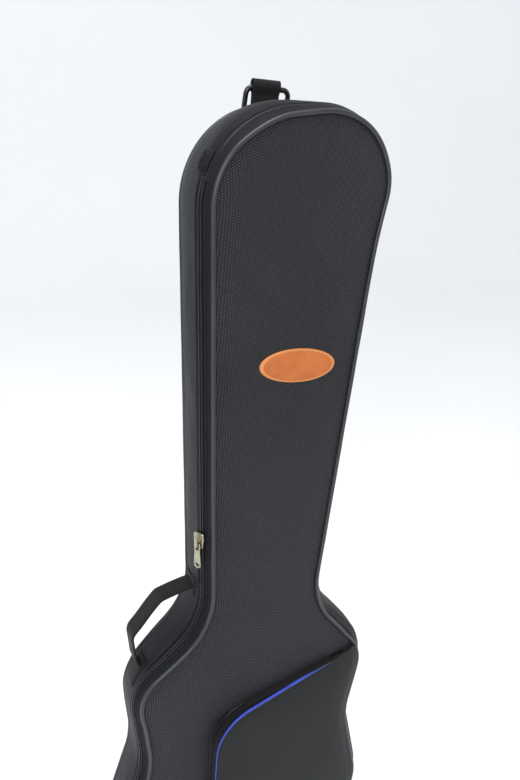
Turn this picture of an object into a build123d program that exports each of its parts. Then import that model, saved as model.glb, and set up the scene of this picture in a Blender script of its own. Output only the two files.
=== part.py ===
from build123d import *
from math import atan2, cos, radians, sin
import os

os.makedirs("parts", exist_ok=True)

# Padded gig bag, standing on its tail. Millimetres, +X right seen from the front,
# front faces -Y, +Z up. The floor under the rubber tail rails is z = 0.

# --- bag shell ---------------------------------------------------------------
DEPTH = 75.0
FRONT = -DEPTH / 2
BACK = DEPTH / 2
BUMPER = 5.0            # height of the rubber tail rails
SPREAD = 9.0            # side wall stands this far outside the front seam
BEVEL = 7.0             # front rim leans in to the seam
SEAM_TAIL = BUMPER + SPREAD
HEAD_TOP = SEAM_TAIL + 1040.0
HEAD_HALF = 102.0
NECK_HALF = 71.0
NECK_END = HEAD_TOP - 595.0
BOUT_HALF = 164.0
BOUT_Z = HEAD_TOP - 689.0
WAIST_HALF = 148.0
WAIST_Z = HEAD_TOP - 806.0
TAIL_HALF = 215.0
HEAD_LEFT_R = 90.0
HEAD_RIGHT_R = 72.0
NECK_R = 110.0
BOUT_R = 68.0
WAIST_R = 140.0
TAIL_R = 95.0
SKIN = 1.5              # outer fabric
WALL_FOAM = 7.0
PANEL_FOAM = 9.0
LINING = 1.0
PIPING_R = 3.2

# --- main zip ----------------------------------------------------------------
SPLIT = FRONT + 13.5    # depth of the zip line
SPLIT_GAP = 0.4
LID_EDGE = SPLIT - SPLIT_GAP / 2
BASE_EDGE = SPLIT + SPLIT_GAP / 2
TAPE = 0.8
TAPE_WIDTH = 7.0
COIL = 1.5
COIL_WIDTH = 2.4
ZIP_TOP = HEAD_TOP - 62.0
ZIP_END = WAIST_Z
SLIDER_Z = HEAD_TOP - 473.0
SLIDER_LIFT = 4.6       # above the side wall, clear of the tapes when tilted
SLIDER_TILT = 30.0      # leans to the front with the soft wall

# --- pocket ------------------------------------------------------------------
POCKET_LEFT = -66.0
POCKET_CORNER_Z = 308.0
POCKET_SLOPE = 0.311
POCKET_FLOOR = SEAM_TAIL + 10.0
POCKET_RIGHT = 230.0
POCKET_CORNER_R = 65.0
POCKET_FOOT_R = 35.0
POCKET_DEEP = 24.0      # depth at the left edge
POCKET_THIN = 6.0       # depth where it meets the right seam
POCKET_SPAN = 231.0
POCKET_SKIN = 2.0
POCKET_ZIP_Y = FRONT - 5.5
POCKET_ZIP_RIGHT = 96.0
POCKET_ZIP_FOOT = 55.0

# --- small parts -------------------------------------------------------------
BADGE = (96.0, 39.5)
BADGE_X = 11.0
BADGE_Z = HEAD_TOP - 256.0
BADGE_TURN = -0.5
WEBBING = 30.0
RING_X = -10.0
RING_BAR_R = 2.8
RING_WIDTH = 49.5       # between bar centres
RING_HEIGHT = 25.0
RING_TILT = 13.0
RING_Z = HEAD_TOP + 25.0
TAB_X = RING_X - 3.0
TAB_WIDTH = 32.0
TAB_Y = BACK + 3.6      # mid-thickness of the hanging tab
STRAP_WIDTH = 54.0
STRAP_THICK = 9.0
STRAP_TOP = (33.0, 560.0)
STRAP_FOOT = (84.0, 250.0)
WEB_FOOT = (118.0, 100.0)
WEB_WIDTH = 25.0


def outline(grow):
    """Outline of the front seam, grown outward by grow."""
    right = [(HEAD_HALF, HEAD_TOP), (NECK_HALF, NECK_END), (BOUT_HALF, BOUT_Z)]
    right += [(WAIST_HALF, WAIST_Z), (TAIL_HALF, SEAM_TAIL)]
    left = [(-x, z) for x, z in reversed(right)]
    rounds = [NECK_R, BOUT_R, WAIST_R, TAIL_R]
    radii = rounds[::-1] + [HEAD_LEFT_R, HEAD_RIGHT_R] + rounds
    with BuildSketch() as shape:
        with BuildLine():
            FilletPolyline(left + right, radius=radii, close=True)
        make_face()
        if grow:
            offset(amount=grow)
    return shape.sketch


def at_depth(y):
    """Sketch plane seen from the front, at depth y."""
    return Plane.XZ.offset(-y)


def slab(grow, front, back):
    """Flat panel with the bag's outline."""
    with BuildPart() as panel:
        with BuildSketch(at_depth(back)):
            add(outline(grow))
        extrude(amount=back - front)
    return panel


def wall(outer, inner, front, back):
    """Side wall that runs all round the bag."""
    with BuildPart() as band:
        with BuildSketch(at_depth(back)):
            add(outline(outer))
            add(outline(inner), mode=Mode.SUBTRACT)
        extrude(amount=back - front)
    return band


def tray(grow, front, back):
    """Panel with its front rim bevelled back to the seam."""
    with BuildPart() as block:
        add(slab(grow, front, back).part)
        chamfer(block.faces().sort_by(Axis.Y)[0].edges(), length=BEVEL)
    return block


def zip_run(outer, inner, front, back):
    """Strip of wall from the head's left corner, round the tail, to the right waist."""
    with BuildPart() as run:
        with BuildSketch(at_depth(back)):
            add(outline(outer))
            add(outline(inner), mode=Mode.SUBTRACT)
            with Locations((0, HEAD_TOP)):
                Rectangle(2 * TAIL_HALF, 2 * (HEAD_TOP - ZIP_TOP), mode=Mode.SUBTRACT)
            with Locations((TAIL_HALF, HEAD_TOP)):
                Rectangle(2 * TAIL_HALF, 2 * (HEAD_TOP - ZIP_END), mode=Mode.SUBTRACT)
        extrude(amount=back - front)
    return run


def piping(grow, y, radius, solid):
    """Welt cord laid round the rim, cut to sit on the solid it edges."""
    loop = outline(grow).moved(Location(Plane.XZ.offset(-y))).face().outer_wire()
    with BuildPart() as cord:
        with BuildSketch(Plane(origin=loop @ 0, z_dir=loop % 0)):
            Circle(radius)
        sweep(path=loop)
        add(solid, mode=Mode.SUBTRACT)
    return cord


pieces = {}

# --- base: back panel and deep rear wall --------------------------------------
INNER = SPREAD - SKIN - WALL_FOAM
pieces["back_shell"] = slab(SPREAD, BACK - SKIN, BACK)
pieces["back_foam"] = slab(SPREAD - SKIN, BACK - SKIN - PANEL_FOAM, BACK - SKIN)
CAVITY_BACK = BACK - SKIN - PANEL_FOAM - LINING
pieces["back_lining"] = slab(INNER, CAVITY_BACK, CAVITY_BACK + LINING)
pieces["rear_gusset"] = wall(SPREAD, SPREAD - SKIN, BASE_EDGE, BACK - SKIN)
pieces["rear_gusset_foam"] = wall(SPREAD - SKIN, INNER, BASE_EDGE, CAVITY_BACK + LINING)
pieces["rear_gusset_lining"] = wall(INNER, INNER - LINING, BASE_EDGE, CAVITY_BACK)
pieces["back_piping"] = piping(
    SPREAD + 0.5, BACK - 1.0, 2.6, slab(SPREAD, BASE_EDGE, BACK).part
)

# --- lid: front panel and shallow front wall -----------------------------------
lid_block = tray(SPREAD, FRONT, LID_EDGE)
lid_inside = tray(SPREAD - SKIN, FRONT + SKIN, LID_EDGE)
pieces["front_shell"] = slab(SPREAD - BEVEL - 0.01, FRONT, FRONT + SKIN)
with BuildPart() as front_gusset:
    add(lid_block.part)
    add(lid_inside.part, mode=Mode.SUBTRACT)
    add(pieces["front_shell"].part, mode=Mode.SUBTRACT)
pieces["front_gusset"] = front_gusset
LID_FLOOR = FRONT + SKIN + PANEL_FOAM
pieces["front_foam"] = tray(SPREAD - SKIN, FRONT + SKIN, LID_FLOOR)
pieces["front_lining"] = slab(SPREAD - SKIN, LID_FLOOR, LID_FLOOR + LINING)
pieces["front_piping"] = piping(SPREAD - BEVEL, FRONT + 0.4, PIPING_R, lid_block.part)

# --- main zip --------------------------------------------------------------------
TAPE_TOP = SPREAD + TAPE
COIL_TOP = TAPE_TOP + COIL
pieces["front_zip_tape"] = zip_run(TAPE_TOP, SPREAD, LID_EDGE - TAPE_WIDTH + 1, LID_EDGE)
pieces["front_zip_coil"] = zip_run(COIL_TOP, TAPE_TOP, LID_EDGE - COIL_WIDTH, LID_EDGE)
pieces["rear_zip_tape"] = zip_run(TAPE_TOP, SPREAD, BASE_EDGE, BASE_EDGE + TAPE_WIDTH)
pieces["rear_zip_coil"] = zip_run(COIL_TOP, TAPE_TOP, BASE_EDGE, BASE_EDGE + COIL_WIDTH)


def gusset_patch(thick, front, back, middle, size):
    """Fabric patch that follows the side wall, size across X and Z about middle."""
    with BuildPart() as patch:
        with BuildSketch(at_depth(back)):
            add(outline(SPREAD + thick))
            add(outline(SPREAD), mode=Mode.SUBTRACT)
            with Locations(middle):
                Rectangle(*size, mode=Mode.INTERSECT)
        extrude(amount=back - front)
    return patch


pieces["zip_end_tab"] = gusset_patch(
    TAPE + COIL, BASE_EDGE, BASE_EDGE + 18, (-HEAD_HALF, ZIP_TOP + 11), (80, 20)
)


def neck_side(z, out, lean):
    """Plane on the left neck wall at height z, leaning to the front; local y runs up."""
    up = Vector(NECK_HALF - HEAD_HALF, 0, HEAD_TOP - NECK_END).normalized()
    normal = Vector(-up.Z, 0, up.X)
    along = (z - NECK_END) / (HEAD_TOP - NECK_END)
    seam = Vector(-NECK_HALF + (NECK_HALF - HEAD_HALF) * along, SPLIT, z)
    forward = Vector(0, -1, 0)
    across = forward * cos(radians(lean)) - normal * sin(radians(lean))
    facing = normal * cos(radians(lean)) + forward * sin(radians(lean))
    return Plane(origin=seam + normal * (SPREAD + out), x_dir=across, z_dir=facing)


def slider(plane, k):
    """Zip slider body with its crown, k times the size of the large one."""
    across = Plane(plane.origin, x_dir=plane.y_dir, z_dir=plane.x_dir)
    with BuildPart() as body:
        with BuildSketch(plane):
            with BuildLine():
                FilletPolyline(
                    [(-7.5 * k, 10 * k), (7.5 * k, 10 * k), (7.5 * k, 1 * k)]
                    + [(5.4 * k, -11 * k), (-5.4 * k, -11 * k), (-7.5 * k, 1 * k)],
                    radius=[3.2 * k, 3.2 * k, 4 * k, 2 * k, 2 * k, 4 * k],
                    close=True,
                )
            make_face()
        extrude(amount=2 * k)
        chamfer(body.faces().sort_by(plane_axis(plane))[-1].edges(), length=0.5 * k)
        with BuildSketch(across):
            with BuildLine():
                FilletPolyline(
                    [(-9 * k, 1.5 * k), (9 * k, 1.5 * k), (7 * k, 7.6 * k), (-9 * k, 7.6 * k)],
                    radius=[0, 0, 4 * k, 3 * k],
                    close=True,
                )
            make_face()
            with Locations((-3.6 * k, 4.2 * k)):
                SlotOverall(7.4 * k, 3.2 * k, mode=Mode.SUBTRACT)
        extrude(amount=2.1 * k, both=True)
    return body


def plane_axis(plane):
    """Axis along a plane's normal."""
    return Axis(plane.origin, plane.z_dir)


def pull(plane, k):
    """Zip pull hanging from a pin through the crown."""
    lift = Plane(plane.origin + plane.z_dir * 3.3 * k, x_dir=plane.x_dir, z_dir=plane.z_dir)
    pin = Plane(
        plane.origin + plane.y_dir * PULL_PIN[0] * k + plane.z_dir * PULL_PIN[1] * k,
        x_dir=plane.y_dir,
        z_dir=plane.x_dir,
    )
    with BuildPart() as tag:
        with BuildSketch(lift):
            with BuildLine():
                FilletPolyline(
                    [(-4.4 * k, -3.6 * k), (4.4 * k, -3.6 * k), (4.2 * k, -16 * k)]
                    + [(5.6 * k, -38 * k), (-5.6 * k, -38 * k), (-4.2 * k, -16 * k)],
                    radius=[1.4 * k, 1.4 * k, 30 * k, 4.8 * k, 4.8 * k, 30 * k],
                    close=True,
                )
            make_face()
            with Locations((0, -7.0 * k)):
                Rectangle(5 * k, 10.6 * k, mode=Mode.SUBTRACT)
            with Locations((0, -33.2 * k)):
                Ellipse(3.1 * k, 1.9 * k, mode=Mode.SUBTRACT)
        extrude(amount=1.8 * k)
        chamfer(tag.faces().sort_by(plane_axis(plane))[-1].edges(), length=0.4 * k)
        with BuildSketch(pin):
            Circle(1.1 * k)
        extrude(amount=2.9 * k, both=True)
    return tag


# --- main zip slider ---------------------------------------------------------------
PULL_PIN = (-5.2, 4.2)
slider_plane = neck_side(SLIDER_Z, SLIDER_LIFT, SLIDER_TILT)
pieces["zip_slider"] = slider(slider_plane, 1.0)
pieces["zip_pull"] = pull(slider_plane, 1.0)

# --- badge, tail rails and neck rest ------------------------------------------------------
with BuildPart() as leather_badge:
    with BuildSketch(at_depth(FRONT)):
        with Locations(Location((BADGE_X, BADGE_Z), BADGE_TURN)):
            Ellipse(BADGE[0] / 2, BADGE[1] / 2)
    extrude(amount=2.0)
    fillet(leather_badge.faces().sort_by(Axis.Y)[0].edges(), 0.8)
pieces["leather_badge"] = leather_badge

RAIL_LENGTH = 170.0
RAIL_LEAN = 1.5
for name, near, far in (("front", -16.0, 4.0), ("rear", 15.0, BACK - 4.0)):
    with BuildPart() as rail:
        with BuildSketch(Plane.YZ.offset(-RAIL_LENGTH / 2)):
            with BuildLine():
                Polyline(
                    (near + RAIL_LEAN, 0), (far - RAIL_LEAN, 0), (far, BUMPER), (near, BUMPER),
                    close=True,
                )
            make_face()
        extrude(amount=RAIL_LENGTH)
    pieces[f"tail_rail_{name}"] = rail

REST_Z = (600.0, 680.0)
REST_DEEP = 34.0
REST_HALF = 66.0
with BuildPart() as neck_rest:
    with BuildSketch(Plane.XY.offset(REST_Z[0])):
        with Locations((0, CAVITY_BACK - REST_DEEP / 2)):
            Rectangle(2 * REST_HALF, REST_DEEP)
        with Locations((0, CAVITY_BACK - REST_DEEP)):
            Circle(24, mode=Mode.SUBTRACT)
    extrude(amount=REST_Z[1] - REST_Z[0])
pieces["neck_rest"] = neck_rest

# --- hanging tab and ring at the head ---------------------------------------------------
LOOP_HALF = 3.6
LOOP_RISE = 3.0
TAB_FABRIC = 1.6
loop_low = RING_Z - RING_BAR_R - 0.4
with BuildPart() as hang_tab:
    with BuildSketch(Plane.YZ.offset(TAB_X - TAB_WIDTH / 2)):
        with Locations((TAB_Y, loop_low + LOOP_HALF + LOOP_RISE / 2)):
            SlotCenterToCenter(LOOP_RISE, 2 * (LOOP_HALF + TAB_FABRIC), rotation=90)
        with Locations((TAB_Y, (HEAD_TOP - 34 + loop_low) / 2)):
            Rectangle(2 * TAB_FABRIC, loop_low - HEAD_TOP + 34)
        with Locations((TAB_Y, loop_low + LOOP_HALF + LOOP_RISE / 2)):
            SlotCenterToCenter(LOOP_RISE, 2 * LOOP_HALF, rotation=90, mode=Mode.SUBTRACT)
    extrude(amount=TAB_WIDTH)
pieces["hang_tab"] = hang_tab

with BuildPart() as hang_tab_patch:
    with BuildSketch(at_depth(BACK)):
        with Locations((TAB_X, HEAD_TOP - 52)):
            Rectangle(TAB_WIDTH + 12, 62)
    extrude(amount=-(TAB_Y - TAB_FABRIC - BACK))
pieces["hang_tab_patch"] = hang_tab_patch

ring_top = Vector(RING_X, TAB_Y, RING_Z)
ring_down = Vector(0, sin(radians(RING_TILT)), -cos(radians(RING_TILT)))
ring_plane = Plane(ring_top, x_dir=(1, 0, 0), z_dir=Vector(1, 0, 0).cross(-ring_down))
with BuildPart() as hang_ring:
    with BuildLine(ring_plane) as ring_path:
        FilletPolyline(
            [(-RING_WIDTH / 2, 0), (RING_WIDTH / 2, 0)]
            + [(RING_WIDTH / 2, -RING_HEIGHT), (-RING_WIDTH / 2, -RING_HEIGHT)],
            radius=7.0,
            close=True,
        )
    loop = ring_path.wire()
    with BuildSketch(Plane(origin=loop @ 0, z_dir=loop % 0)):
        Circle(RING_BAR_R)
    sweep(path=loop)
pieces["hang_ring"] = hang_ring

# --- carrying handle on the left shoulder --------------------------------------------------
HANDLE_Y = BASE_EDGE + 32.0
HANDLE_THICK = 4.0
HANDLE_ROUTE = [(-95, 499), (-131, 489), (-168, 441), (-163, 403)]
HANDLE_BENDS = [14, 18]
with BuildPart() as carry_handle:
    with BuildSketch(at_depth(HANDLE_Y + WEBBING / 2)):
        with BuildLine() as route:
            FilletPolyline(HANDLE_ROUTE, radius=HANDLE_BENDS)
        trace(line_width=HANDLE_THICK)
    extrude(amount=WEBBING)
    ends = carry_handle.edges().filter_by(lambda e: abs(e.length - HANDLE_THICK) < 0.01)
    fillet(ends, WEBBING / 2 - 1.5)
pieces["carry_handle"] = carry_handle

HANDLE_SPAN = (HANDLE_Y - WEBBING / 2 - 3, HANDLE_Y + WEBBING / 2 + 3)
pieces["handle_patch_upper"] = gusset_patch(2.0, *HANDLE_SPAN, (-84, 499), (30, 32))
pieces["handle_patch_lower"] = gusset_patch(2.0, *HANDLE_SPAN, (-148, 376), (26, 30))

# --- front pocket ----------------------------------------------------------------------------
def pocket_outline(grow):
    """Pocket seen from the front, kept inside the bag's seam."""
    corner_right = POCKET_CORNER_Z + (POCKET_RIGHT - POCKET_LEFT) * POCKET_SLOPE
    with BuildSketch() as shape:
        with BuildLine():
            FilletPolyline(
                [(POCKET_LEFT, POCKET_FLOOR), (POCKET_LEFT, POCKET_CORNER_Z)]
                + [(POCKET_RIGHT, corner_right), (POCKET_RIGHT, POCKET_FLOOR)],
                radius=[POCKET_FOOT_R, POCKET_CORNER_R, 0, 0],
                close=True,
            )
        make_face()
        if grow:
            offset(amount=grow)
        add(outline(-3), mode=Mode.INTERSECT)
    return shape.sketch


def pocket_face(skin):
    """Tilted plane of the pocket's front, skin below its surface."""
    run = Vector(POCKET_SPAN, POCKET_DEEP - POCKET_THIN, 0)
    origin = Vector(POCKET_LEFT, FRONT - POCKET_DEEP + skin, 0)
    return Plane(origin=origin, x_dir=run, z_dir=run.cross(Vector(0, 0, 1)))


def wedge(grow, skin, keep):
    """Pocket block between the bag's front and its tilted face."""
    with BuildPart() as block:
        with BuildSketch(at_depth(FRONT)):
            add(pocket_outline(grow))
        extrude(amount=POCKET_DEEP + 4)
        split(bisect_by=pocket_face(skin), keep=keep)
    return block


with BuildPart() as pocket_panel:
    add(wedge(0, 0, Keep.BOTTOM).part)
    split(bisect_by=pocket_face(POCKET_SKIN), keep=Keep.TOP)
pieces["pocket_panel"] = pocket_panel
with BuildPart() as pocket_gusset:
    add(wedge(0, POCKET_SKIN, Keep.BOTTOM).part)
    add(wedge(-POCKET_SKIN, POCKET_SKIN, Keep.BOTTOM).part, mode=Mode.SUBTRACT)
pieces["pocket_gusset"] = pocket_gusset


def pocket_run(outer, inner):
    """Sketch of a band along the pocket's mouth, from its right end to its foot."""
    with BuildSketch() as band:
        add(pocket_outline(outer))
        add(pocket_outline(inner), mode=Mode.SUBTRACT)
        with Locations((POCKET_ZIP_RIGHT + 200, POCKET_CORNER_Z)):
            Rectangle(400, 800, mode=Mode.SUBTRACT)
        with Locations((0, POCKET_ZIP_FOOT - 100)):
            Rectangle(800, 200, mode=Mode.SUBTRACT)
    return band.sketch


def pocket_band(outer, inner, middle, width):
    """Band on the pocket's wall, width front to back about a depth."""
    with BuildPart() as band:
        with BuildSketch(at_depth(middle + width / 2)):
            add(pocket_run(outer, inner))
        extrude(amount=width)
    return band


pieces["pocket_zip_tape"] = pocket_band(TAPE, 0, POCKET_ZIP_Y, 6.5)
pieces["pocket_zip_coil"] = pocket_band(TAPE + 1.2, TAPE, POCKET_ZIP_Y, 3.2)
with BuildPart() as pocket_zip_tab:
    with BuildSketch(at_depth(FRONT)):
        add(pocket_outline(2.0))
        add(pocket_outline(0), mode=Mode.SUBTRACT)
        with Locations((POCKET_ZIP_RIGHT + 12.2, POCKET_CORNER_Z)):
            Rectangle(24, 400, mode=Mode.INTERSECT)
    extrude(amount=11)
pieces["pocket_zip_tab"] = pocket_zip_tab

face = pocket_face(0)
slant = cos(atan2(POCKET_DEEP - POCKET_THIN, POCKET_SPAN))
edge_right = (POCKET_ZIP_RIGHT - POCKET_LEFT) / slant
edge_top = POCKET_CORNER_Z + (POCKET_ZIP_RIGHT - POCKET_LEFT) * POCKET_SLOPE
with BuildPart() as pocket_piping:
    with BuildLine(face) as mouth:
        FilletPolyline(
            [(0, POCKET_ZIP_FOOT), (0, POCKET_CORNER_Z), (edge_right, edge_top)],
            radius=POCKET_CORNER_R,
        )
    mouth_line = mouth.wire()
    with BuildSketch(Plane(origin=mouth_line @ 0, z_dir=mouth_line % 0)):
        Circle(2.6)
    sweep(path=mouth_line)
    add(wedge(0, 0, Keep.BOTTOM).part, mode=Mode.SUBTRACT)
pieces["pocket_piping"] = pocket_piping

POCKET_SLIDER_Z = POCKET_ZIP_FOOT + 22.0
pocket_plane = Plane(
    origin=(POCKET_LEFT - TAPE - 1.2 - 0.4, POCKET_ZIP_Y, POCKET_SLIDER_Z),
    x_dir=(0, -1, 0),
    z_dir=(-1, 0, 0),
)
pieces["pocket_slider"] = slider(pocket_plane, 0.6)
pieces["pocket_pull"] = pull(pocket_plane, 0.6)

# --- shoulder straps on the back ------------------------------------------------------------------
BACK_VIEW = Plane.XZ.offset(-BACK)
WEB_GAP = 2.0
WEB_THICK = 1.6


def strap_line(side, start, end, lift):
    """Plane on the back from start to end: local x across, local y along the strap."""
    begin = Vector(side * start[0], BACK + lift, start[1])
    finish = Vector(side * end[0], BACK + lift, end[1])
    down = (finish - begin).normalized()
    return Plane(origin=begin, x_dir=down, z_dir=(0, 1, 0)), (finish - begin).length


for side, hand in ((-1, "left"), (1, "right")):
    pad_plane, pad_length = strap_line(side, STRAP_TOP, STRAP_FOOT, 0.0)
    with BuildPart() as pad:
        with BuildSketch(pad_plane):
            with Locations((pad_length / 2, 0)):
                RectangleRounded(pad_length, STRAP_WIDTH, 16)
        extrude(amount=STRAP_THICK)
        fillet(pad.faces().sort_by(Axis.Y)[-1].edges(), 2.5)
    pieces[f"strap_pad_{hand}"] = pad

    web_plane, web_length = strap_line(side, STRAP_FOOT, WEB_FOOT, WEB_GAP)
    with BuildPart() as web:
        with BuildSketch(web_plane):
            with Locations((web_length / 2 + 2, 0)):
                Rectangle(web_length - 4, WEB_WIDTH)
        extrude(amount=WEB_THICK)
    back_plane = strap_line(side, STRAP_FOOT, WEB_FOOT, 0.0)[0]
    pieces[f"strap_webbing_{hand}"] = web

    with BuildPart() as foot:
        with BuildSketch(back_plane):
            with Locations((web_length - 12, 0)):
                Rectangle(34, WEB_WIDTH + 12)
        extrude(amount=WEB_GAP)
    pieces[f"strap_anchor_{hand}"] = foot

    with BuildPart() as glide:
        with BuildSketch(back_plane.offset(0.3)):
            with Locations((60, 0)):
                RectangleRounded(30, WEB_WIDTH + 9, 3)
        extrude(amount=5.6)
        with BuildSketch(back_plane.offset(WEB_GAP - 0.4)):
            with Locations((60, 0)):
                Rectangle(40, WEB_WIDTH + 0.8)
        extrude(amount=WEB_THICK + 0.8, mode=Mode.SUBTRACT)
        with BuildSketch(back_plane.offset(4.2)):
            with Locations((54, 0), (66, 0)):
                RectangleRounded(7, WEB_WIDTH - 1, 2)
        extrude(amount=3, mode=Mode.SUBTRACT)
    pieces[f"strap_adjuster_{hand}"] = glide

with BuildPart() as strap_head_patch:
    with BuildSketch(BACK_VIEW):
        with Locations((0, STRAP_TOP[1] + 22)):
            RectangleRounded(124, 36, 6)
    extrude(amount=-2.0)
pieces["strap_head_patch"] = strap_head_patch

for name, piece in pieces.items():
    piece.part.label = name
    export_step(piece.part, f"parts/{name}.step")
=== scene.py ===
from math import acos, atan2, cos, pi, radians, sin, sqrt, tan

import bmesh
import bpy
import numpy as np
from mathutils import Matrix, Vector, noise


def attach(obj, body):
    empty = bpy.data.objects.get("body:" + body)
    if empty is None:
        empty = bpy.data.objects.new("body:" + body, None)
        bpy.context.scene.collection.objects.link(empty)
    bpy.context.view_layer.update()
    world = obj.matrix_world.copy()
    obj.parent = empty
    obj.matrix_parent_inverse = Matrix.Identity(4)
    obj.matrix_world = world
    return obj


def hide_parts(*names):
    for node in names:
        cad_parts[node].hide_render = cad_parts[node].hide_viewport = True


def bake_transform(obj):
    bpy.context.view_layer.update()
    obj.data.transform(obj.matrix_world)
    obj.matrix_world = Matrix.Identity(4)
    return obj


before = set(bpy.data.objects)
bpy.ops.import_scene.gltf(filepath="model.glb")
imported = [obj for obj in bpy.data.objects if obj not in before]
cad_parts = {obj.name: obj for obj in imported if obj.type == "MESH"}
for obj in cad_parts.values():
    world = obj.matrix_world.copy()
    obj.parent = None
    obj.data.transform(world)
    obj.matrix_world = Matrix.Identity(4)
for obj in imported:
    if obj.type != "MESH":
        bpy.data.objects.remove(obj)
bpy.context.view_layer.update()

# Soft skins, webbing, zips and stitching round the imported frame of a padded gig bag.
# Lengths here are millimetres until mesh_object() writes metres.
MM = 0.001

# --- bag outline and depths, as in the CAD ---
FRONT, BACK = -37.5, 37.5
HEAD_TOP, SEAM_TAIL = 1054.0, 14.0
CORNERS = [(-102, HEAD_TOP), (-71, 459), (-164, 365), (-148, 248), (-215, SEAM_TAIL)]
CORNERS += [(-x, z) for x, z in reversed(CORNERS)]
ROUNDS = [90, 110, 68, 140, 95, 95, 140, 68, 110, 72]
LID_EDGE, BASE_EDGE = -24.2, -23.8
SEAM = 0.6              # the front seam and its piping stand this far out
ZIP_TOP, ZIP_END = 992.0, 248.0
CAVITY_BACK, LID_FLOOR = 26.0, -27.0
STEP = 4.0              # spacing of points along the outline
TICKS = 20              # frames of each cloth simulation
ROW_STEP, ROW_REACH = 5.0, 70.0     # rows of a panel, closer within the reach of its ends

# --- front pocket ---
POCKET_LEFT, POCKET_CORNER, POCKET_SLOPE = -66.0, 308.0, 0.311
POCKET_FLOOR, POCKET_DEEP, POCKET_THIN, POCKET_SPAN = 24.0, 24.0, 6.0, 231.0
POCKET_ROUND, POCKET_FOOT = 65.0, 35.0
POCKET_ZIP_Y, POCKET_ZIP_RIGHT, POCKET_ZIP_FOOT = FRONT - 5.5, 96.0, 55.0

# --- handle, hanging tab, straps ---
HANDLE_Y, WEBBING = 8.2, 30.0
HANDLE_ROUTE = [(-88, 500), (-95, 499), (-131, 489), (-168, 441), (-163, 403), (-156, 389)]
TAB_X, TAB_Y, TAB_WIDTH, LOOP_LOW = -13.0, 41.1, 32.0, 1075.8
STRAP_TOP, STRAP_FOOT, WEB_FOOT = (33.0, 560.0), (84.0, 250.0), (118.0, 100.0)
BADGE, BADGE_AT, BADGE_TURN = (96.0, 39.5), (11.0, 798.0), radians(-0.5)
BADGE_SEAM = 2.3        # the badge's stitch groove lies this far inside its edge
LOOP_RADIUS = 4.4
REST_LOW, REST_HIGH, REST_HALF, NECK_RADIUS = 602, 678, 65.0, 24.0

# --- camera, in metres and radians ---
CAMERA_AT = (-0.374, -0.7175, 1.0204)
AZIMUTH, ELEVATION, ROLL = 0.451, -0.395, 0.071
LENS, SHIFT = 32.83, (0.0184, 0.0699)


# --- Paths ---
def rounded(corners, radii, closed):
    """Points along a polygon whose corners are arcs of these radii."""
    points = []
    count = len(corners)
    for k, radius in enumerate(radii):
        corner = np.array(corners[k], float)
        if radius == 0:
            points.append(corner)
            continue
        before = np.array(corners[k - 1], float) - corner
        after = np.array(corners[(k + 1) % count], float) - corner
        before /= np.linalg.norm(before)
        after /= np.linalg.norm(after)
        half = acos(np.clip(before @ after, -1, 1)) / 2
        middle = corner + (before + after) / np.linalg.norm(before + after) * radius / sin(half)
        first = corner + before * radius / tan(half) - middle
        last = corner + after * radius / tan(half) - middle
        turn = atan2(last[1], last[0]) - atan2(first[1], first[0])
        turn = (turn + pi) % (2 * pi) - pi
        steps = max(6, int(abs(turn) * radius / 2))
        for j in range(steps + 1):
            angle = atan2(first[1], first[0]) + turn * j / steps
            points.append(middle + radius * np.array([cos(angle), sin(angle)]))
    return np.array(points)


def make_path(points, spacing, closed=False):
    """Even points along a line, with the normal to its right and the length so far."""
    if closed:
        points = np.vstack([points, points[:1]])
    far = np.concatenate([[0], np.cumsum(np.linalg.norm(np.diff(points, axis=0), axis=1))])
    count = max(2, round(far[-1] / spacing))
    length = np.linspace(0, far[-1], count + 1)
    if closed:
        length = length[:-1]
    at = np.stack([np.interp(length, far, points[:, k]) for k in (0, 1)], 1)
    if closed:
        run = np.roll(at, -1, 0) - np.roll(at, 1, 0)
    else:
        run = np.gradient(at, axis=0)
    run /= np.linalg.norm(run, axis=1)[:, None]
    return {"at": at, "out": np.stack([run[:, 1], -run[:, 0]], 1), "s": length, "total": far[-1]}


def part_of(path, keep):
    """The stretch of a path whose points keep is true for."""
    return stretch(path, [i for i in range(len(path["at"])) if keep(*path["at"][i])])


def finer(path, spacing):
    """The same open path with points at another spacing."""
    return make_path(path["at"], spacing)


def stretch(path, index):
    """The points of a path that index picks."""
    piece = {key: path[key][index] for key in ("at", "out", "s")}
    piece["total"] = piece["s"][-1]
    return piece


# The outline starts at the middle of the head's top.
OUTLINE = make_path(np.vstack([[(0, HEAD_TOP)], rounded(CORNERS, ROUNDS, True)]), STEP, True)


def on_zip(x, z):
    """True along the zip: from the head's left corner, round the tail, to the right waist."""
    return z < (ZIP_TOP if x < 0 else ZIP_END)


def bump(x, z, at, size):
    """1 at a place on the outline, falling away over size."""
    return np.exp(-(((x - at[0]) / size[0]) ** 2) - ((z - at[1]) / size[1]) ** 2)


def seam_shift(x, z):
    """How far the sewn seam stands off the plain outline: slack head, full left shoulder."""
    head = -4.0 * bump(x, z, (-60, 1046), (40, 40))
    head += 4.0 * smooth(z, 1010, 1050) * smooth(x, -20, 30)
    head += 7.0 * bump(x, z, (96, 1008), (55, 55))
    return head + 6.0 * bump(x, z, (-150, 372), (60, 36)) - 3.0 * bump(x, z, (150, 385), (40, 30))


def back_shift(x, z):
    """How far the back draws in or swells, most at the head's right corner and the tail."""
    shift = -25.0 * bump(x, z, (82, 1040), (68, 58)) + 4.0 * bump(x, z, (125, 420), (60, 45))
    shift -= 7.0 * (1 - smooth(z, 14, 60))
    return shift - 4.0 * bump(x, z, (-160, 372), (60, 36))


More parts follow.
